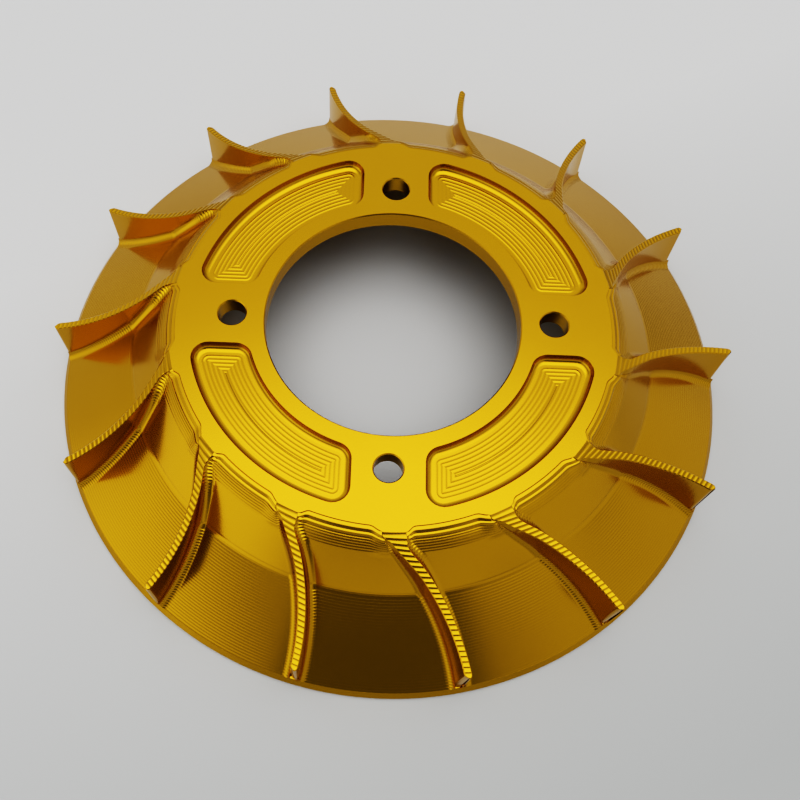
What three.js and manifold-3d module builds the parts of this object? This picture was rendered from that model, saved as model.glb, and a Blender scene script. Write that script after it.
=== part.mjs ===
// Fan ring of a small engine's flywheel: a round mounting disc on a flared hub, a conical
// flange and fourteen swept blades. Millimetres, +Z up along the spin axis. The origin is on
// the axis, in the plane of the rim's flat foot.
import * as THREE from "three";
import { mergeVertices } from "three/addons/utils/BufferGeometryUtils.js";
import Module from "manifold-3d";

const wasm = await Module();
wasm.setup();

// Overall size
const outerRadius = 85;
const discTop = 23.2;
const weldGap = 0.1;

// Mounting disc
const discRadius = 51;
const discThickness = 4.2;
const boreRadius = 30;
const boreChamfer = 0.25;
const boltCount = 4;
const boltCircleRadius = 37.8;
const boltHoleRadius = 3.3;
const boltHoleChamfer = 0.25;

// Kidney pockets between the bolt holes
const pocketInnerRadius = 34;
const pocketOuterRadius = 47.9;
const pocketDepth = 2;
const pocketCornerRadius = 3.9;
const webHalfWidth = 8.15;

// Hub: a step, a rounded shoulder, a conical wall and a small fillet into the flange
const shoulderStep = 0.35;
const shoulderRadius = 14;
const shoulderAngle = THREE.MathUtils.degToRad(19);
const wallAngle = THREE.MathUtils.degToRad(42);
const wallThickness = 3;
const filletRadius = 2.5;

// Flange: a cone that ends in a chamfered rim with a flat foot
const flangeAngle = THREE.MathUtils.degToRad(29);
const flangeDrop = 2.9;
const rimEdge = 0.5;
const rimChamfer = 1.1;

// Blades
const bladeCount = 14;
const bladeOuterHalf = 0.85;
const bladeInnerHalf = 1.45;
const bladeTipRadius = 83.1;
const bladeTipHeight = 14.65;
const bladeFootRadius = 83.8;
const bladeRootRadius = 51.8;
const bladeRise = 52.4;
const bladeTopSag = 0.48;
const bladeArcRadius = 51.5;
const bladeTipAngle = THREE.MathUtils.degToRad(0.35);
const bladeFlareRadius = 57.6;
const bladeFlare = 1.6;

const ringSegments = 112;
const discUnderside = discTop - discThickness;
const anodised = { color: 0xc8900f, roughness: 0.38, metalness: 1 };

// Geometry helpers

function toSolid(geometry) {
  geometry.deleteAttribute("normal");
  geometry.deleteAttribute("uv");
  const merged = mergeVertices(geometry, 1e-4);
  const vertProperties = merged.attributes.position.array;
  const triVerts = new Uint32Array(merged.index.array);
  return new wasm.Manifold(new wasm.Mesh({ numProp: 3, vertProperties, triVerts }));
}

function toGeometry(solid) {
  const mesh = solid.getMesh();
  const geometry = new THREE.BufferGeometry();
  geometry.setAttribute("position", new THREE.BufferAttribute(mesh.vertProperties, 3));
  geometry.setIndex(new THREE.BufferAttribute(mesh.triVerts, 1));
  return geometry;
}

// A ring turned about +Z. The profile holds [radius, height] pairs, clockwise in that plane.
function turned(profile, segments = ringSegments) {
  const points = [...profile, profile[0]].reverse().map(([r, z]) => new THREE.Vector2(r, z));
  return toSolid(new THREE.LatheGeometry(points, segments).rotateX(Math.PI / 2));
}

function extruded(shape, bottom, top, curveSegments = 6) {
  const options = { depth: top - bottom, bevelEnabled: false, curveSegments };
  return toSolid(new THREE.ExtrudeGeometry(shape, options).translate(0, 0, bottom));
}

function arcPoints(centreR, centreZ, radius, from, to, steps) {
  return Array.from({ length: steps + 1 }, (_, i) => {
    const angle = from + ((to - from) * i) / steps;
    return [centreR + radius * Math.cos(angle), centreZ + radius * Math.sin(angle)];
  });
}

const piece = (name, solid) => {
  const mesh = new THREE.Mesh(toGeometry(solid), new THREE.MeshStandardMaterial(anodised));
  mesh.name = name;
  return mesh;
};

// The turned outline, from the disc's edge to the rim

const rimTop = [outerRadius - rimChamfer, rimEdge + rimChamfer];
const flangeHeight = (r) => rimTop[1] + (rimTop[0] - r) * Math.tan(flangeAngle);

const shoulderStart = [discRadius, discTop - shoulderStep];
const shoulderCentre = [
  shoulderStart[0] - shoulderRadius * Math.sin(shoulderAngle),
  shoulderStart[1] - shoulderRadius * Math.cos(shoulderAngle),
];
const wallStart = [
  shoulderCentre[0] + shoulderRadius * Math.sin(wallAngle),
  shoulderCentre[1] + shoulderRadius * Math.cos(wallAngle),
];
// The wall meets the flange's cone at the corner, which the fillet rounds off.
const cornerRadius =
  (wallStart[1] + wallStart[0] * Math.tan(wallAngle) - flangeHeight(0)) /
  (Math.tan(wallAngle) - Math.tan(flangeAngle));
const corner = [cornerRadius, flangeHeight(cornerRadius)];
const filletTangent = filletRadius * Math.tan((wallAngle - flangeAngle) / 2);
const wallEnd = [
  corner[0] - filletTangent * Math.cos(wallAngle),
  corner[1] + filletTangent * Math.sin(wallAngle),
];
const filletCentre = [
  wallEnd[0] + filletRadius * Math.sin(wallAngle),
  wallEnd[1] + filletRadius * Math.cos(wallAngle),
];
const flangeStart = corner[0] + filletTangent * Math.cos(flangeAngle);

function hubOutline() {
  const shoulder = arcPoints(
    ...shoulderCentre,
    shoulderRadius,
    Math.PI / 2 - shoulderAngle,
    Math.PI / 2 - wallAngle,
    5,
  );
  const fillet = arcPoints(
    ...filletCentre,
    filletRadius,
    -Math.PI / 2 - wallAngle,
    -Math.PI / 2 - flangeAngle,
    2,
  );
  return [...shoulder, ...fillet];
}

// Mounting disc

function pocketShape() {
  const offset = webHalfWidth + pocketCornerRadius;
  const outerCentre = Math.sqrt((pocketOuterRadius - pocketCornerRadius) ** 2 - offset ** 2);
  const innerCentre = Math.sqrt((pocketInnerRadius + pocketCornerRadius) ** 2 - offset ** 2);
  const outerAngle = Math.atan2(offset, outerCentre);
  const innerAngle = Math.atan2(offset, innerCentre);
  const quarter = Math.PI / 2;
  const corner = (x, y, from, to) => shape.absarc(x, y, pocketCornerRadius, from, to, false);
  const shape = new THREE.Shape();
  shape.absarc(0, 0, pocketOuterRadius, outerAngle, quarter - outerAngle, false);
  corner(offset, outerCentre, quarter - outerAngle, 2 * quarter);
  corner(offset, innerCentre, 2 * quarter, 3 * quarter - innerAngle);
  shape.absarc(0, 0, pocketInnerRadius, quarter - innerAngle, innerAngle, true);
  corner(innerCentre, offset, 2 * quarter + innerAngle, 3 * quarter);
  corner(outerCentre, offset, 3 * quarter, 4 * quarter + outerAngle);
  return shape;
}

function boltHole() {
  const wide = boltHoleRadius + boltHoleChamfer;
  const above = 1;
  const profile = [
    [0, discTop + above],
    [wide, discTop + above],
    [wide, discTop],
    [boltHoleRadius, discTop - boltHoleChamfer],
    [boltHoleRadius, discUnderside + boltHoleChamfer],
    [wide, discUnderside],
    [wide, discUnderside - above],
    [0, discUnderside - above],
  ];
  return turned(profile, 24);
}

function mountingDisc() {
  const edge = discRadius - weldGap;
  let disc = turned([
    [boreRadius + boreChamfer, discTop],
    [edge, discTop],
    [edge, discUnderside],
    [boreRadius + boreChamfer, discUnderside],
    [boreRadius, discUnderside + boreChamfer],
    [boreRadius, discTop - boreChamfer],
  ]);
  const pocket = extruded(pocketShape(), discTop - pocketDepth, discTop + 1, 9);
  for (let i = 0; i < boltCount; i++) {
    const degrees = (360 / boltCount) * i;
    disc = disc.subtract(pocket.rotate([0, 0, degrees]));
    disc = disc.subtract(boltHole().translate([boltCircleRadius, 0, 0]).rotate([0, 0, degrees]));
  }
  return disc;
}

// Hub wall and flange

function hubWall() {
  const inset = wallThickness / Math.sin(wallAngle);
  const innerWall = (z) => wallStart[0] + (wallStart[1] - z) / Math.tan(wallAngle) - inset;
  const innerCornerRadius = corner[0] - inset * 0.75;
  return turned([
    ...hubOutline(),
    [flangeStart, flangeHeight(flangeStart) - flangeDrop],
    [innerCornerRadius, flangeHeight(innerCornerRadius) - flangeDrop],
    [innerWall(discUnderside), discUnderside],
    [discRadius, discUnderside],
  ]);
}

function flangeRing() {
  const start = flangeStart + weldGap;
  const footRadius = rimTop[0] - (flangeDrop - rimTop[1]) / Math.tan(flangeAngle);
  return turned([
    [start, flangeHeight(start)],
    rimTop,
    [outerRadius, rimEdge],
    [outerRadius, 0],
    [footRadius, 0],
    [start, flangeHeight(start) - flangeDrop],
  ]);
}

// Blades

// Height of the blades' top edge: level with the disc at the root, hollowing out to the tip.
function bladeTop(r) {
  const t = (r - bladeRise) / (bladeTipRadius - bladeRise);
  const fall = (1 + bladeTopSag) * t - bladeTopSag * t * t;
  return discTop - (discTop - bladeTipHeight) * fall;
}

// Each blade follows one arc in plan, whose centre lies clockwise of the blade.
const bladeArcCentre = new THREE.Vector2(
  bladeTipRadius + bladeArcRadius * Math.sin(bladeTipAngle),
  -bladeArcRadius * Math.cos(bladeTipAngle),
);

// Point on the blade's middle line at a distance r from the axis.
function bladeMiddle(r) {
  const reach = bladeArcCentre.length();
  const cosine = (reach ** 2 + r ** 2 - bladeArcRadius ** 2) / (2 * reach * r);
  const angle = bladeArcCentre.angle() + Math.acos(cosine);
  return new THREE.Vector2(r * Math.cos(angle), r * Math.sin(angle));
}

// How much the root widens on each side at a distance r from the axis.
function rootFlare(r) {
  const share = Math.max(0, (bladeFlareRadius - r) / (bladeFlareRadius - bladeRise));
  return bladeFlare * share ** 2;
}

function bladeShape() {
  const stations = 14;
  const sides = { inner: [], outer: [] };
  const tipRound = (bladeOuterHalf + bladeInnerHalf) / 2;
  for (let i = 0; i <= stations; i++) {
    const r = bladeRootRadius + ((bladeFootRadius - tipRound - bladeRootRadius) * i) / stations;
    const middle = bladeMiddle(r);
    const across = middle.clone().sub(bladeArcCentre).normalize();
    const flare = rootFlare(r);
    sides.outer.push(middle.clone().addScaledVector(across, bladeOuterHalf + flare));
    sides.inner.push(middle.clone().addScaledVector(across, -bladeInnerHalf - flare));
  }
  const tip = bladeMiddle(bladeFootRadius);
  return new THREE.Shape([...sides.inner, tip, ...sides.outer.reverse()]);
}

// Everything under the blades' top edge and inside their tips, which lean out towards the rim,
// less the hub and flange with their welding gap.
function bladeEnvelope() {
  const steps = 8;
  const inside = bladeRootRadius - 3;
  const beyond = outerRadius - rimChamfer;
  const topLine = Array.from({ length: steps + 1 }, (_, i) => {
    const r = bladeRise + ((bladeTipRadius - bladeRise) * i) / steps;
    return [r, bladeTop(r)];
  });
  const foot = [bladeFootRadius, flangeHeight(bladeFootRadius)];
  const under = turned([[inside, discTop], ...topLine, foot, [bladeFootRadius, 0], [inside, 0]]);
  const raise = ([r, z]) => [r, z + weldGap];
  const base = turned([
    [bladeRootRadius - 4, discTop + 1],
    [discRadius, discTop + 1],
    ...hubOutline().map(raise),
    raise([beyond, flangeHeight(beyond)]),
    [beyond, -1],
    [bladeRootRadius - 4, -1],
  ]);
  return under.subtract(base);
}

function blade() {
  return extruded(bladeShape(), 0, discTop + 1).intersect(bladeEnvelope());
}

// Assembly

const fanRing = new THREE.Group();
fanRing.name = "fan_ring";
fanRing.add(piece("mounting_disc", mountingDisc()));
fanRing.add(piece("hub_wall", hubWall()));
fanRing.add(piece("flange_ring", flangeRing()));
const bladeSolid = blade();
for (let i = 0; i < bladeCount; i++) {
  const name = `blade_${String(i + 1).padStart(2, "0")}`;
  const mesh = piece(name, bladeSolid);
  mesh.rotation.z = (2 * Math.PI * i) / bladeCount;
  fanRing.add(mesh);
}

export default fanRing;
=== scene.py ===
import bpy
import math
import numpy as np
from mathutils import Matrix, Vector
from mathutils.geometry import delaunay_2d_cdt


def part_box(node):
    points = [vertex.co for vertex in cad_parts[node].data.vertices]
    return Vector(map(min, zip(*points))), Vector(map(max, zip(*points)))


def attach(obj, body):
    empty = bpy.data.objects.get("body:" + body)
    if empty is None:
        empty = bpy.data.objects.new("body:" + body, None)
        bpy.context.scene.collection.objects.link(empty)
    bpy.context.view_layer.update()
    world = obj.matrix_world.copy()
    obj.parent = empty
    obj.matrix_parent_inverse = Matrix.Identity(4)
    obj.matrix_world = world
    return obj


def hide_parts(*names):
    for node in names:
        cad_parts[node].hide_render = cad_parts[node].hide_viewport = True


# The anodised fan ring of a small engine's flywheel, with the ridges its milling cutters left.
# Lengths are in millimetres until a mesh is made, and angles in degrees unless a name says radians.

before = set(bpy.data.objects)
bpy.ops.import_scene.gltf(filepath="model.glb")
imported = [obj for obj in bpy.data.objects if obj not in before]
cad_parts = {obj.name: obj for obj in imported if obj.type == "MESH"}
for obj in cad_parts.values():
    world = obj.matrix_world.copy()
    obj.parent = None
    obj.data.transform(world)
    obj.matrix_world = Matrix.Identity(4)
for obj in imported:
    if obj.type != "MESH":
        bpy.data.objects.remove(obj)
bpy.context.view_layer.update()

MM = 0.001


def node_box(name):
    low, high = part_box(name)
    return np.array(low) / MM, np.array(high) / MM


DISC_LOW, DISC_HIGH = node_box("mounting_disc")
FLANGE_LOW, FLANGE_HIGH = node_box("flange_ring")
DISC_TOP = DISC_HIGH[2]
DISC_UNDER = DISC_LOW[2]
OUTER = FLANGE_HIGH[0]

# Disc, bore, bolt holes and pockets
DISC_EDGE = 51.0
PAD_EDGE = 52.4
PAD_FADE = 6.0
SKIRT = 0.8
ROUND_STEPS = 336
BORE = 30.0
EDGE_BREAK = 0.25
HOLE_CIRCLE = 37.8
HOLE = 3.3
POCKET_INNER = 34.0
POCKET_OUTER = 47.9
POCKET_CORNER = 3.9
WEB_HALF = 8.15
POCKET_WALL = 0.45
POCKET_FILLET = 1.55
GROOVE_PITCH = 1.0
GROOVE_DEPTH = 0.075

# Edge of the disc's flat top between two blades, as (angle from the blade's tip, radius)
PAD_OUTLINE = (
    (-17.6, 51.0), (-16.8, 51.02), (-16.1, 51.2), (-14.9, 51.85), (-13.7, 52.4),
    (-8.5, 52.4), (-7.9, 52.2), (-7.3, 51.7), (-6.7, 51.2), (-6.1, 51.0), (-5.4, 51.0),
)

# Hub and flange outline
STEP = 0.35
SHOULDER = 14.0
SHOULDER_ANGLE = math.radians(19)
WALL_ANGLE = math.radians(42)
FILLET = 2.5
FLANGE_ANGLE = math.radians(29)
RIM_EDGE = 0.5
RIM_CHAMFER = 1.1
FOOT_BREAK = 0.15
FLANGE_DROP = 2.9
WALL_THICK = 3.0
# Steps round the top of the hub, as (radius, height)
LEDGES = (
    (51.12, 22.91), (51.22, 22.87), (51.86, 22.80), (51.95, 22.70),
    (52.44, 22.38), (52.52, 22.34), (52.92, 22.28), (53.05, 22.16),
)
FINE_START = 53.3
FINE_PITCH = 0.45
FINE_RIDGES = 6
FINE_DEPTH = 0.03
LAST_RIDGE_DEPTH = 0.022
RIDGES = 32
RIDGE_DEPTH = 0.022
FOOT_BEAD = 0.07
ROOT_BEAD = 0.09
BEAD_FADE_START = 56.5
BEAD_FADE = 2.5

# Blades
BLADES = 14
PITCH = 360 / BLADES
TIP_RADIUS = 83.1
TIP_TOP = 14.65
TIP_LEAN = 1.1
LEAN_START = 79.0
LEAN_FADE = 4.0
RISE = 52.4
TOP_SAG = 0.48
ARC = 51.5
ARC_TIP = math.radians(0.35)
HALF_CCW = 0.85
HALF_CW = 1.5
ROOT_END = 59.0
ROOT_FADE = 3.5
BALL = 1.9
BAR_PITCH = 1.13
BAR_DEPTH = 0.095
STRAIGHT = 2.2
LEAN_IN = 0.9
BAR_TILT = math.tan(math.radians(9))
TILT_FADE = 3.0
BAR_START = 0.2
BURIED = 0.6
CCW_EDGE = 0.16
CW_EDGE_DROP = 0.22
# Sides of the flared root, as (radius, angle from the blade's tip)
ROOT_CCW = (
    (52.4, -8.5), (53.1, -8.3), (54.5, -8.15), (55.7, -7.75), (56.8, -6.95), (59.0, -5.25), (62.5, -3.2),
)
ROOT_CW = (
    (52.4, -13.9), (53.1, -13.8), (54.5, -12.4), (55.7, -11.3), (56.8, -10.2), (59.0, -8.2), (62.5, -5.65),
)


# Curves

def smooth_through(points, x):
    """Smooth curve through the points, straight beyond its ends."""
    xs, ys = np.array(points, float).T
    slope = np.gradient(ys, xs)
    x = np.asarray(x, float)
    i = np.clip(np.searchsorted(xs, x) - 1, 0, len(xs) - 2)
    step = xs[i + 1] - xs[i]
    t = np.clip((x - xs[i]) / step, 0, 1)
    a, b = 2 * t**3 - 3 * t**2 + 1, t**3 - 2 * t**2 + t
    c, d = -2 * t**3 + 3 * t**2, t**3 - t**2
    y = a * ys[i] + b * step * slope[i] + c * ys[i + 1] + d * step * slope[i + 1]
    before = np.minimum(x - xs[0], 0)
    after = np.maximum(x - xs[-1], 0)
    return y + before * slope[0] + after * slope[-1]


def ease(t):
    t = np.clip(t, 0, 1)
    return t * t * (3 - 2 * t)


def polar(r, degrees):
    a = np.radians(degrees)
    return np.stack([r * np.cos(a), r * np.sin(a)], axis=-1)


def disc_edge(degrees):
    """Radius of the disc's flat top, at an angle measured from any blade's tip."""
    a = np.mod(np.asarray(degrees, float) + PITCH, PITCH) - PITCH
    angles, radii = np.array(PAD_OUTLINE).T
    fine = np.linspace(-PITCH, 0, 1201)
    rough = np.interp(fine, angles, radii)
    reach = 10
    weights = np.hanning(2 * reach + 1)
    soft = np.convolve(np.pad(rough, reach, mode="edge"), weights / weights.sum(), "valid")
    return np.interp(a, fine, soft)


# Outline of the hub and flange

RIM_TOP = np.array([OUTER - RIM_CHAMFER, RIM_EDGE + RIM_CHAMFER])
SHOULDER_CENTRE = np.array([
    DISC_EDGE - SHOULDER * math.sin(SHOULDER_ANGLE),
    DISC_TOP - STEP - SHOULDER * math.cos(SHOULDER_ANGLE),
])
WALL_START = SHOULDER_CENTRE + SHOULDER * np.array([math.sin(WALL_ANGLE), math.cos(WALL_ANGLE)])


def flange_height(r):
    return RIM_TOP[1] + (RIM_TOP[0] - r) * math.tan(FLANGE_ANGLE)


CORNER = (WALL_START[1] + WALL_START[0] * math.tan(WALL_ANGLE) - flange_height(0)) / (
    math.tan(WALL_ANGLE) - math.tan(FLANGE_ANGLE))
FILLET_REACH = FILLET * math.tan((WALL_ANGLE - FLANGE_ANGLE) / 2)
WALL_END = CORNER - FILLET_REACH * math.cos(WALL_ANGLE)
FLANGE_START = CORNER + FILLET_REACH * math.cos(FLANGE_ANGLE)
FILLET_CENTRE = np.array([
    FLANGE_START + FILLET * math.sin(FLANGE_ANGLE),
    flange_height(FLANGE_START) + FILLET * math.cos(FLANGE_ANGLE),
])


def outline(r):
    """Height of the hub and flange before any ridges."""
    r = np.asarray(r, float)
    shoulder = SHOULDER_CENTRE[1] + np.sqrt(np.maximum(SHOULDER**2 - (r - SHOULDER_CENTRE[0]) ** 2, 0.01))
    wall = WALL_START[1] - (r - WALL_START[0]) * math.tan(WALL_ANGLE)
    fillet = FILLET_CENTRE[1] - np.sqrt(np.maximum(FILLET**2 - (r - FILLET_CENTRE[0]) ** 2, 0.01))
    z = np.where(r < WALL_START[0], shoulder, wall)
    z = np.where(r > WALL_END, fillet, z)
    return np.where(r > FLANGE_START, flange_height(r), z)


def outline_slope(r):
    return (outline(r + 0.05) - outline(r - 0.05)) / 0.1


# Blades

ARC_CENTRE = np.array([TIP_RADIUS + ARC * math.sin(ARC_TIP), -ARC * math.cos(ARC_TIP)])
ARC_REACH = float(np.hypot(*ARC_CENTRE))
ARC_DIRECTION = math.degrees(math.atan2(ARC_CENTRE[1], ARC_CENTRE[0]))


def arc_angle(r, offset=0.0):
    """Angle at radius r of the blade's middle line, or of a line to its counter-clockwise side."""
    reach = ARC + offset
    cosine = (ARC_REACH**2 + np.square(r) - reach**2) / (2 * ARC_REACH * r)
    return ARC_DIRECTION + np.degrees(np.arccos(np.clip(cosine, -1, 1)))


def blade_top(r):
    t = (r - RISE) / (TIP_RADIUS - RISE)
    return DISC_TOP - (DISC_TOP - TIP_TOP) * ((1 + TOP_SAG) * t - TOP_SAG * t * t)


def side_angle(r, side):
    """Angle of the blade's side at radius r: side 1 is counter-clockwise and -1 clockwise."""
    r = np.asarray(r, float)
    half = HALF_CCW if side > 0 else HALF_CW
    root = smooth_through(ROOT_CCW if side > 0 else ROOT_CW, r)
    return root + (arc_angle(r, side * half) - root) * ease((r - ROOT_END) / ROOT_FADE)


def side_frame(r, side):
    """Point on the side at radius r and the level direction out of the blade there."""
    near = 0.2
    point = polar(r, side_angle(r, side))
    along = polar(r + near, side_angle(r + near, side)) - polar(r - near, side_angle(r - near, side))
    along /= np.linalg.norm(along, axis=-1, keepdims=True)
    return point, np.stack([-along[..., 1], along[..., 0]], axis=-1) * side


# Meshes

# Sharpest angles that are shaded smooth
RIDGE_CREASE = 11
BAR_CREASE = 14


def grid_faces(rows, columns):
    i = np.arange((rows - 1) * columns).reshape(rows - 1, columns)[:, :-1]
    return np.stack([i, i + 1, i + columns + 1, i + columns], axis=-1).reshape(-1, 4)


def make(name, node, surface, crease):
    mesh = bpy.data.meshes.new(name)
    mesh.from_pydata((np.concatenate(surface.points) * MM).tolist(), [], surface.faces)
    mesh.validate()
    mesh.shade_smooth()
    mesh.set_sharp_from_angle(angle=math.radians(crease))
    piece = bpy.data.objects.new(name, mesh)
    bpy.context.scene.collection.objects.link(piece)
    mesh.materials.append(METAL)
    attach(piece, "root")
    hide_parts(node)
    return piece


class Surface:
    """Points and faces gathered from several grids."""

    def __init__(self):
        self.points, self.faces, self.count = [], [], 0

    def add(self, points, faces):
        self.points.append(points)
        self.faces += [[int(i) + self.count for i in face] for face in faces]
        self.count += len(points)

    def add_grid(self, grid, flip=False):
        rows, columns = grid.shape[:2]
        faces = grid_faces(rows, columns)
        self.add(grid.reshape(-1, 3), faces[:, ::-1] if flip else faces)

    def add_turned(self, profile):
        angle = np.linspace(0, 2 * math.pi, ROUND_STEPS + 1)
        r, z = np.array(profile, float).T
        grid = np.stack(np.broadcast_arrays(
            r[:, None] * np.cos(angle), r[:, None] * np.sin(angle), z[:, None]), axis=-1)
        self.add_grid(grid)


def bar_tilt(r):
    return BAR_TILT * ease((r - RISE) / TILT_FADE)


def bar_line(r, side):
    """Radius on the blade's middle line of the milled bar that ends on the side at radius r."""
    return r - bar_tilt(r) * r * np.radians(side_angle(r, side) - arc_angle(r))


def edge_drop(high, side):
    """How far below its top the blade's side begins to lean, where the blade stands this high."""
    return np.minimum(0.12, 0.1 * high) if side > 0 else np.maximum(high - STRAIGHT, 0.5 * high)


# The valley between two blades

def scallops(f, depth):
    """Depth of the round hollows between ridges that stand at whole values of f."""
    return 4 * depth * (f % 1) * (1 - f % 1)


def valley_rows():
    """Rows of the hub and of the flange as (radius in the middle, height), with the depths below them
    of their ridges and of the beads along the blades' feet."""
    hub = [(DISC_EDGE, DISC_TOP), *LEDGES]
    r = np.arange(FINE_START, WALL_END, FINE_PITCH / 4)
    f = np.arange(len(r)) / 4
    fine = scallops(f, FINE_DEPTH) * (f < FINE_RIDGES)
    fine += scallops((r - WALL_END) / FINE_PITCH, LAST_RIDGE_DEPTH) * (r > WALL_END - FINE_PITCH)
    beads = scallops(f, ROOT_BEAD) * (1 - ease((r - BEAD_FADE_START) / BEAD_FADE))
    before, after = len(hub), 4
    r = np.append(r, np.linspace(WALL_END, FLANGE_START, after))
    hub = np.vstack([hub, np.stack([r, outline(r)], axis=-1)])
    hub_ridges = [np.pad(depths, (before, after)) for depths in (fine, beads)]
    f = np.arange(4 * RIDGES + 1) / 4
    r = FLANGE_START + (RIM_TOP[0] - FLANGE_START) * f / RIDGES
    flange = np.stack([r, outline(r)], axis=-1)
    return (hub, *hub_ridges), (flange, scallops(f, RIDGE_DEPTH), scallops(f, FOOT_BEAD))


def valley(rows, sag, beads, middle_steps, fillet_steps=10):
    """Grid over the valley from one blade's counter-clockwise side to the next blade's."""
    middle_r, height = rows.T
    height = np.minimum(height, DISC_TOP)
    weight = 1 - ease((middle_r - DISC_EDGE) / PAD_FADE)
    slope = outline_slope(middle_r)
    steep = np.sqrt(1 + slope**2)
    out_part, up_part = -slope / steep, 1 / steep
    centre_z = height + BALL * up_part

    def plain(angle):
        return middle_r + (disc_edge(angle) - DISC_EDGE) * weight

    def fillet(side):
        """Strip that a ball of radius BALL leaves when it rolls along the blade's side."""
        settle, narrowest = 0.6, 0.02
        end_r = middle_r + (PAD_EDGE - DISC_EDGE) * weight
        away = np.full(len(end_r), BALL)
        for _ in range(16):
            point, out = side_frame(end_r, side)
            centre = point + out * away[:, None]
            centre_r = np.linalg.norm(centre, axis=-1)
            radial = centre / centre_r[:, None]
            whole = np.arccos(np.clip((out * radial).sum(-1) * out_part, -1, 1))
            top = np.minimum(blade_top(bar_line(end_r, side)), DISC_TOP)
            edge_z = top - edge_drop(np.maximum(top - height, 0), side)
            rise = (centre_z - edge_z) / (BALL * up_part)
            begin = np.minimum(np.arcsin(np.clip(rise * np.sin(whole), 0, 1)), whole - narrowest)
            away += settle * (BALL * np.cos(begin) - away)
            wanted = plain(np.degrees(np.arctan2(centre[:, 1], centre[:, 0]))) + BALL * out_part
            end_r = end_r + settle * (wanted - centre_r)
        share = np.linspace(0, 1, fillet_steps + 1)[None, :, None]
        t = begin[:, None, None] + share * (whole - begin)[:, None, None]
        whole = whole[:, None, None]
        level = np.pad(out, ((0, 0), (0, 1)))[:, None, :]
        normal = np.column_stack([radial * out_part[:, None], up_part])[:, None, :]
        direction = (np.sin(whole - t) * level + np.sin(t) * normal) / np.sin(whole)
        reach = BALL + sag[:, None, None] + beads[:, None, None] * (1 - share)
        grid = np.column_stack([centre, centre_z])[:, None, :] - reach * direction
        grid[..., 2] = np.minimum(grid[..., 2], DISC_TOP)
        end_face = TIP_RADIUS + TIP_LEAN * (TIP_TOP - grid[..., 2]) / TIP_TOP
        grid[..., :2] *= np.minimum(end_face / np.hypot(grid[..., 0], grid[..., 1]), 1)[..., None]
        return grid

    first = fillet(1)
    last = turned_copy(fillet(-1), PITCH)[:, ::-1]
    a = np.degrees(np.arctan2(first[:, -1, 1], first[:, -1, 0]))
    b = np.degrees(np.arctan2(last[:, 0, 1], last[:, 0, 0]))
    spread = 0.5 - 0.5 * np.cos(np.pi * np.linspace(0, 1, middle_steps + 1)[1:-1])
    middle = []
    for t in spread:
        angle = a + (b - a) * t
        r = plain(angle) - sag * out_part
        middle.append(np.column_stack([polar(r, angle), height - sag * up_part]))
    return np.concatenate([first, np.stack(middle, axis=1), last], axis=1)


def turned_copy(grid, degrees):
    a = math.radians(degrees)
    matrix = np.array([[math.cos(a), math.sin(a), 0], [-math.sin(a), math.cos(a), 0], [0, 0, 1]])
    return grid @ matrix


def hub_and_flange():
    hub_rows, flange_rows = valley_rows()
    hub = valley(*hub_rows, middle_steps=34)
    flange = valley(*flange_rows, middle_steps=28)
    skirt = flange[-1:].copy()
    skirt[..., 2] = RIM_TOP[1]
    flange = np.concatenate([flange, skirt])
    inset = WALL_THICK / math.sin(WALL_ANGLE)
    inner_corner = CORNER - 0.75 * inset
    inner_top = WALL_START[0] + (WALL_START[1] - DISC_UNDER) / math.tan(WALL_ANGLE) - inset
    hub_surface, flange_surface = Surface(), Surface()
    for i in range(BLADES):
        hub_surface.add_grid(turned_copy(hub, i * PITCH), flip=True)
        flange_surface.add_grid(turned_copy(flange, i * PITCH), flip=True)
    hub_surface.add_turned([
        (DISC_EDGE, DISC_UNDER),
        (inner_top, DISC_UNDER),
        (inner_corner, flange_height(inner_corner) - FLANGE_DROP),
        (FLANGE_START, flange_height(FLANGE_START) - FLANGE_DROP),
    ])
    foot = RIM_TOP[0] - (FLANGE_DROP - RIM_TOP[1]) / math.tan(FLANGE_ANGLE)
    flange_surface.add_turned([
        (FLANGE_START, flange_height(FLANGE_START) - FLANGE_DROP),
        (foot, 0),
        (OUTER - FOOT_BREAK, 0),
        (OUTER, FOOT_BREAK),
        (OUTER, RIM_EDGE),
        tuple(RIM_TOP),
        (RIM_TOP[0] - 0.5, RIM_TOP[1] + 0.1),
    ])
    make("hub_wall_surface", "hub_wall", hub_surface, RIDGE_CREASE)
    make("flange_surface", "flange_ring", flange_surface, RIDGE_CREASE)


# Blades

def blade_sections():
    """Radii on the blade's middle line, several to each milled bar."""
    bars = int((TIP_RADIUS - RISE) / BAR_PITCH) + 1
    f = np.array([0, 0.12, 0.3, 0.5, 0.7, 0.88])
    stations = (np.arange(-bars, 1)[:, None] + f[None, :]).ravel() * BAR_PITCH + TIP_RADIUS - BAR_START
    end = TIP_RADIUS - HALF_CCW
    return stations[(stations > RISE) & (stations < end)]


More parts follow.
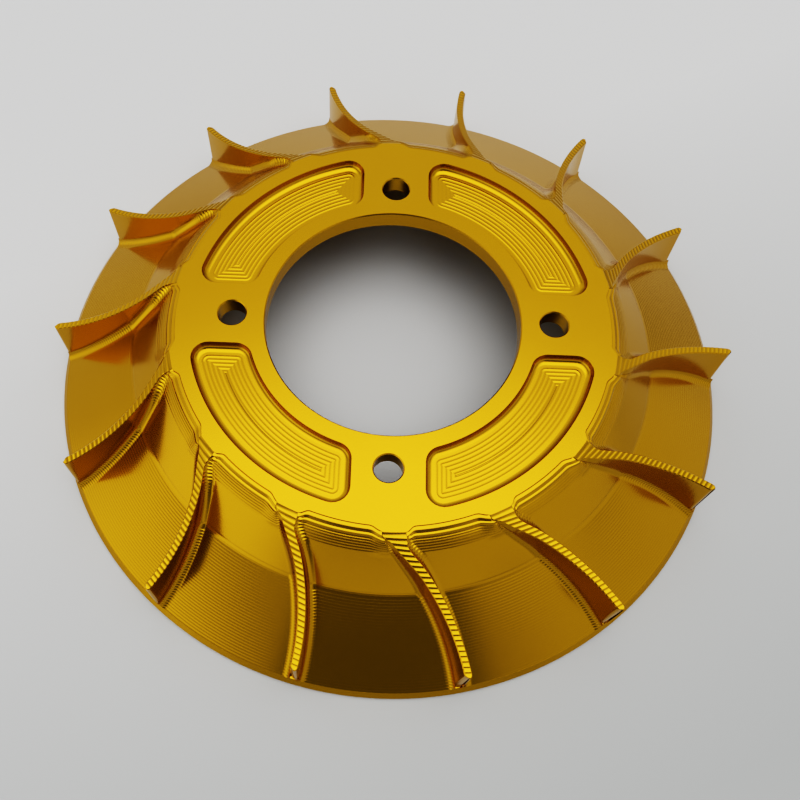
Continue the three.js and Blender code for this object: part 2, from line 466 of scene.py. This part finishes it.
def blade_grid():
    """Grid over a blade, from its foot on the counter-clockwise side across its top to the other foot."""
    b = np.concatenate([[RISE - BURIED, RISE - 0.02], blade_sections()])
    turn = np.radians([0, 18, 36, 52, 66, 78, 86, 90])
    cap = TIP_RADIUS - HALF_CCW + HALF_CCW * np.sin(turn)
    taper = np.concatenate([np.ones(len(b)), np.cos(turn)])
    b = np.concatenate([b, cap])
    sag = scallops((b - TIP_RADIUS + BAR_START) / BAR_PITCH, BAR_DEPTH) * (b > RISE)
    top = np.where(b > RISE, blade_top(b), DISC_TOP - 0.01) - sag
    middle = arc_angle(b)
    sides = {}
    for side in (1, -1):
        r = b.copy()
        for _ in range(3):
            angle = side_angle(np.maximum(r, RISE), side)
            r = b + bar_tilt(b) * r * np.radians(angle - middle)
        angle = middle + (angle - middle) * taper
        sides[side] = (r, angle)
    ground = outline(np.clip(b, DISC_EDGE, RIM_TOP[0]))
    floor = ground - BURIED
    hub = valley_rows()[0][0]
    beside = b - (PAD_EDGE - DISC_EDGE) * (1 - ease((b - PAD_EDGE) / PAD_FADE))
    high = np.maximum(top - np.where(beside < FLANGE_START, np.interp(beside, *hub.T), ground), 0)
    columns = []
    lean = TIP_LEAN * ease((b - LEAN_START) / LEAN_FADE)

    def level(r, angle, z):
        out = lean * (TIP_TOP - z) / TIP_TOP
        columns.append(np.column_stack([polar(r + np.maximum(out, 0), angle), z]))

    def moved_in(side, distance):
        """Bar's end on the side, and the point at this distance from it towards the middle line."""
        r, angle = sides[side]
        width = np.maximum(np.abs(np.radians(angle - middle)) * r, 1e-3)
        inner = middle + (angle - middle) * np.clip(1 - distance / width, 0.02, 1)
        return b + bar_tilt(b) * r * np.radians(inner - middle), inner

    r, angle = sides[1]
    drop = edge_drop(high, 1)
    level(r, angle, floor)
    level(r, angle, floor + (top - floor) * 0.5)
    level(r, angle, top - drop)
    level(*moved_in(1, CCW_EDGE), top)
    level(b, middle, top)
    inset = LEAN_IN * ease((b - RISE - 0.5) / 2)
    r, angle = sides[-1]
    plain_top = top + sag
    level(*moved_in(-1, inset), top)
    level(*moved_in(-1, 0.75 * inset), plain_top - np.minimum(CW_EDGE_DROP, 0.2 * high))
    level(r, angle, plain_top - edge_drop(high, -1))
    level(r, angle, floor)
    return np.stack(columns, axis=1)


def blades():
    grid = blade_grid()
    for i in range(BLADES):
        surface = Surface()
        surface.add_grid(turned_copy(grid, i * PITCH), flip=True)
        name = f"blade_{i + 1:02d}"
        make(f"{name}_surface", name, surface, BAR_CREASE)


# Mounting disc

def pocket_loop(inset, quarter, corner_steps=7, side_steps=3, arc_steps=40):
    """Outline of a pocket moved inwards by inset, in the same number of points for every inset."""
    inner, outer = POCKET_INNER + inset, POCKET_OUTER - inset
    web, corner = WEB_HALF + inset, max(POCKET_CORNER - inset, 1e-4)
    offset = web + corner
    outer_angle = math.asin(offset / (outer - corner))
    inner_angle = math.asin(offset / (inner + corner))
    outer_x = (outer - corner) * math.cos(outer_angle)
    inner_x = (inner + corner) * math.cos(inner_angle)
    half = math.pi / 2

    def arc(x, y, radius, start, stop, steps):
        a = np.linspace(start, stop, steps + 1)
        return np.stack([x + radius * np.cos(a), y + radius * np.sin(a)], axis=-1)

    def straight(a, b):
        t = np.linspace(0, 1, side_steps + 1)[1:-1, None]
        return a + (b - a) * t

    big = arc(0, 0, outer, outer_angle, half - outer_angle, arc_steps)
    c1 = arc(offset, outer_x, corner, half - outer_angle, 2 * half, corner_steps)[1:]
    c2 = arc(offset, inner_x, corner, 2 * half, 3 * half - inner_angle, corner_steps)
    small = arc(0, 0, inner, half - inner_angle, inner_angle, arc_steps)[1:]
    c3 = arc(inner_x, offset, corner, 2 * half + inner_angle, 3 * half, corner_steps)[1:]
    c4 = arc(outer_x, offset, corner, 3 * half, 4 * half + outer_angle, corner_steps)[:-1]
    loop = np.vstack([big, c1, straight(c1[-1], c2[0]), c2, small, c3, straight(c3[-1], c4[0]), c4])
    a = quarter * half
    return loop @ np.array([[math.cos(a), math.sin(a)], [-math.sin(a), math.cos(a)]])


def pocket_levels():
    """Insets and depths from the pocket's edge, down its wall and over the milled floor."""
    edge, draft = 0.06, 0.02
    levels = [(-edge, 0), (0, edge), (draft, POCKET_WALL)]
    for a in np.radians(np.linspace(10, 90, 9)):
        levels.append((draft + POCKET_FILLET * (1 - math.cos(a)), POCKET_WALL + POCKET_FILLET * math.sin(a)))
    start, deep = levels[-1]
    reach = (POCKET_OUTER - POCKET_INNER) / 2
    for i in range(int((reach - start) / GROOVE_PITCH * 4) + 1):
        f = (i + 1) / 4
        inset = start + f * GROOVE_PITCH
        if inset < reach:
            levels.append((inset, deep - GROOVE_DEPTH + scallops(f, GROOVE_DEPTH)))
    levels.append((reach, deep - GROOVE_DEPTH))
    return levels


def circle(radius, x=0.0, y=0.0, steps=48):
    a = np.linspace(0, 2 * math.pi, steps, endpoint=False)
    return np.stack([x + radius * np.cos(a), y + radius * np.sin(a)], axis=-1)


def flat_face(loops):
    """Faces between the first loop and the holes inside it."""
    points = [Vector(p) for loop in loops for p in loop.tolist()]
    edges, start = [], 0
    for loop in loops:
        n = len(loop)
        edges += [(start + i, start + (i + 1) % n) for i in range(n)]
        start += n
    verts, _, faces, *_ = delaunay_2d_cdt(points, edges, [], 1, 1e-7)
    xy = np.array([tuple(v) for v in verts])
    kept = []
    for face in faces:
        x, y = xy[list(face)].mean(axis=0)
        if inside(x, y, loops[0]) and not any(inside(x, y, hole) for hole in loops[1:]):
            kept.append(list(face))
    return xy, kept


def inside(x, y, loop):
    x0, y0 = loop[:, 0], loop[:, 1]
    x1, y1 = np.roll(x0, -1), np.roll(y0, -1)
    crosses = (y0 > y) != (y1 > y)
    at = x0 + (y - y0) / np.where(crosses, y1 - y0, 1) * (x1 - x0)
    return bool(np.count_nonzero(crosses & (x < at)) % 2)


def stacked(loops):
    """Grid of closed loops, each (points, height)."""
    rows = []
    for xy, z in loops:
        closed = np.vstack([xy, xy[:1]])
        rows.append(np.column_stack([closed, np.full(len(closed), z)]))
    return np.stack(rows)


def mounting_disc():
    surface = Surface()
    centres = [polar(HOLE_CIRCLE, 90.0 * i) for i in range(4)]
    degrees = np.linspace(0, 360, 3 * ROUND_STEPS, endpoint=False)
    rim = polar(disc_edge(degrees), degrees)
    thick = DISC_TOP - DISC_UNDER
    bore = [(EDGE_BREAK, 0), (0, EDGE_BREAK), (0, thick - EDGE_BREAK), (EDGE_BREAK, thick)]
    levels = pocket_levels()
    holes = [circle(BORE + EDGE_BREAK, steps=ROUND_STEPS)]
    holes += [circle(HOLE + EDGE_BREAK, *c) for c in centres]
    pockets = [pocket_loop(levels[0][0], i) for i in range(4)]
    xy, faces = flat_face([rim] + holes + pockets)
    surface.add(np.column_stack([xy, np.full(len(xy), DISC_TOP)]), faces)
    for i in range(4):
        floor = stacked([(pocket_loop(inset, i), DISC_TOP - depth) for inset, depth in levels])
        surface.add_grid(floor)
        surface.add_grid(stacked([(circle(HOLE + d, *centres[i]), DISC_TOP - z) for d, z in bore]))
    surface.add_grid(stacked([(circle(BORE + d, steps=ROUND_STEPS), DISC_TOP - z) for d, z in bore]))
    surface.add_grid(stacked([(rim, DISC_TOP), (rim * 0.999, DISC_TOP - SKIRT)]), flip=True)
    below = circle(DISC_EDGE, steps=ROUND_STEPS)
    xy, faces = flat_face([below] + holes)
    surface.add(np.column_stack([xy, np.full(len(xy), DISC_UNDER)]), [f[::-1] for f in faces])
    make("disc_surface", "mounting_disc", surface, RIDGE_CREASE)


# Finish

def anodised_metal():
    material = bpy.data.materials.new("anodised_metal")
    material.use_nodes = True
    nodes, links = material.node_tree.nodes, material.node_tree.links
    shader = nodes["Principled BSDF"]
    shader.inputs["Metallic"].default_value = 1.0
    shader.inputs["Coat Weight"].default_value = 0.12
    shader.inputs["Coat Roughness"].default_value = 0.2
    shader.inputs["Specular Tint"].default_value = (0.95, 0.90, 0.82, 1)
    place = nodes.new("ShaderNodeTexCoord")
    grain = nodes.new("ShaderNodeTexNoise")
    grain.inputs["Scale"].default_value = 2600.0
    grain.inputs["Detail"].default_value = 3.0
    cloud = nodes.new("ShaderNodeTexNoise")
    cloud.inputs["Scale"].default_value = 60.0
    cloud.inputs["Detail"].default_value = 4.0
    for noise in (grain, cloud):
        links.new(place.outputs["Object"], noise.inputs["Vector"])
    tint = nodes.new("ShaderNodeMix")
    tint.data_type = "RGBA"
    tint.inputs["A"].default_value = (0.50, 0.27, 0.008, 1)
    tint.inputs["B"].default_value = (0.54, 0.295, 0.010, 1)
    links.new(cloud.outputs["Fac"], tint.inputs["Factor"])
    links.new(tint.outputs["Result"], shader.inputs["Base Color"])
    rough = nodes.new("ShaderNodeMapRange")
    rough.inputs["To Min"].default_value = 0.14
    rough.inputs["To Max"].default_value = 0.23
    links.new(grain.outputs["Fac"], rough.inputs["Value"])
    links.new(rough.outputs["Result"], shader.inputs["Roughness"])
    bump = nodes.new("ShaderNodeBump")
    bump.inputs["Strength"].default_value = 0.25
    bump.inputs["Distance"].default_value = 0.00002
    links.new(grain.outputs["Fac"], bump.inputs["Height"])
    links.new(bump.outputs["Normal"], shader.inputs["Normal"])
    return material


METAL = anodised_metal()
mounting_disc()
hub_and_flange()
blades()


# Room

def table():
    mesh = bpy.data.meshes.new("table_top")
    half, clearance = 3.0, 0.0002
    corners = [(-half, -half, 0), (half, -half, 0), (half, half, 0), (-half, half, 0)]
    mesh.from_pydata(corners, [], [(0, 1, 2, 3)])
    top = bpy.data.objects.new("table_top", mesh)
    top.location.z = -clearance
    bpy.context.scene.collection.objects.link(top)
    material = bpy.data.materials.new("table_top")
    material.use_nodes = True
    nodes, links = material.node_tree.nodes, material.node_tree.links
    shader = nodes["Principled BSDF"]
    shader.inputs["Roughness"].default_value = 0.55
    place = nodes.new("ShaderNodeTexCoord")
    # Painted shade: the table top's colour is darker towards the front and the right, where less light falls
    # on it.
    across = nodes.new("ShaderNodeVectorMath")
    across.operation = "DOT_PRODUCT"
    across.inputs[1].default_value = (-0.4, 0.9, 0)
    shade_ramp = nodes.new("ShaderNodeMapRange")
    for key, value in (("From Min", -0.12), ("From Max", 0.06), ("To Min", 0.0), ("To Max", 1.0)):
        shade_ramp.inputs[key].default_value = value
    painted_shade = nodes.new("ShaderNodeMix")
    painted_shade.data_type = "RGBA"
    painted_shade.inputs["A"].default_value = (0.385, 0.392, 0.388, 1)
    painted_shade.inputs["B"].default_value = (0.610, 0.610, 0.608, 1)
    links.new(place.outputs["Object"], across.inputs[0])
    links.new(across.outputs["Value"], shade_ramp.inputs["Value"])
    links.new(shade_ramp.outputs["Result"], painted_shade.inputs["Factor"])
    links.new(painted_shade.outputs["Result"], shader.inputs["Base Color"])
    mesh.materials.append(material)


# Soft light of the room by direction: (direction, cosine where it starts, cosine where it is full, amount)
GLOWS = (
    ((0.03, -0.05, 1.00), 0.76, 0.92, 1.35),
    ((0.00, 0.45, 0.90), 0.40, 0.90, 0.24),
    ((-0.88, -0.42, 0.12), 0.75, 0.97, 0.60),
    ((0.62, -0.30, 0.72), 0.93, 0.985, 0.50),
)
AMBIENT = 0.70
# Dark parts of the room, as (amount, bounds); a bound is (direction, cosine outside, cosine inside)
SHADES = (
    (0.80, (
        ((0, 0, 1), 0.36, 0.47),
        ((0, 0, -1), -0.88, -0.80),
        ((0.88, -0.47, 0), -0.02, 0.08),
        ((-0.79, -0.62, 0), -0.04, 0.14),
    )),
    (0.40, (
        ((0, 0, 1), 0.40, 0.50),
        ((0, 0, -1), -0.78, -0.70),
        ((0.90, -0.44, 0), 0.45, 0.65),
    )),
    (0.45, (
        ((0, 0, 1), 0.50, 0.58),
        ((0, 0, -1), -0.78, -0.70),
        ((-0.90, -0.44, 0), 0.30, 0.50),
    )),
    (0.45, (
        ((0, 0, 1), -0.10, 0.00),
        ((0, 0, -1), -0.24, -0.14),
        ((0, -1, 0), 0.50, 0.80),
    )),
    (0.40, (
        ((0, 0, 1), -0.05, 0.05),
        ((0, 0, -1), -0.64, -0.48),
        ((0.2, 0.98, 0), 0.50, 0.75),
    )),
)


def room_light():
    world = bpy.data.worlds.new("room")
    world.use_nodes = True
    nodes, links = world.node_tree.nodes, world.node_tree.links
    place = nodes.new("ShaderNodeTexCoord")

    def toward(direction, start, full, low, high):
        dot = nodes.new("ShaderNodeVectorMath")
        dot.operation = "DOT_PRODUCT"
        dot.inputs[1].default_value = Vector(direction).normalized()
        links.new(place.outputs["Generated"], dot.inputs[0])
        ramp = nodes.new("ShaderNodeMapRange")
        ramp.interpolation_type = "SMOOTHSTEP"
        for key, value in (("From Min", start), ("From Max", full), ("To Min", low), ("To Max", high)):
            ramp.inputs[key].default_value = value
        links.new(dot.outputs["Value"], ramp.inputs["Value"])
        return ramp.outputs["Result"]

    def combine(operation, a, b):
        node = nodes.new("ShaderNodeMath")
        node.operation = operation
        for socket, value in zip(node.inputs, (a, b)):
            if isinstance(value, float):
                socket.default_value = value
            else:
                links.new(value, socket)
        return node.outputs["Value"]

    total = AMBIENT
    for direction, start, full, amount in GLOWS:
        total = combine("ADD", total, toward(direction, start, full, 0.0, amount))
    deepest = 0.0
    for dark, bounds in SHADES:
        for direction, outside, within in bounds:
            dark = combine("MULTIPLY", dark, toward(direction, outside, within, 0.0, 1.0))
        deepest = combine("MAXIMUM", deepest, dark)
    total = combine("MULTIPLY", total, combine("SUBTRACT", 1.0, deepest))
    background = nodes["Background"]
    background.inputs["Color"].default_value = (1.0, 1.0, 1.0, 1)
    links.new(total, background.inputs["Strength"])
    bpy.context.scene.world = world


# Light in and light out of the camera's film, which deepens the dark tones and softens the bright ones
RESPONSE = (
    (0.021, 0.005), (0.05, 0.02), (0.089, 0.05), (0.139, 0.1), (0.222, 0.2), (0.303, 0.3), (0.393, 0.4),
    (0.5, 0.5), (0.632, 0.6), (0.804, 0.7), (1.034, 0.8), (1.344, 0.9), (1.75, 1.0),
)


def camera_response():
    settings = bpy.context.scene.view_settings
    settings.view_transform = "Standard"
    settings.use_curve_mapping = True
    mapping = settings.curve_mapping
    brightest = RESPONSE[-1][0]
    mapping.white_level = (brightest, brightest, brightest)
    curve = mapping.curves[3]
    for light, shown in RESPONSE[:-1]:
        curve.points.new(light / brightest, shown)
    mapping.update()


def camera():
    lens = bpy.data.cameras.new("camera")
    lens.sensor_width = 36
    lens.lens = 31.478
    lens.shift_x = 0.0720
    lens.shift_y = 0.1442
    lens.clip_start = 0.01
    eye = bpy.data.objects.new("camera", lens)
    turn = Matrix.Rotation(math.radians(2.6403), 4, "Z") @ Matrix.Rotation(math.radians(0.1636), 4, "Y")
    eye.matrix_world = (Matrix.Translation((-0.00697, -0.09560, 0.16441)) @ turn
                        @ Matrix.Rotation(math.radians(18.2561), 4, "X"))
    bpy.context.scene.collection.objects.link(eye)
    bpy.context.scene.camera = eye


table()
room_light()
camera_response()
camera()
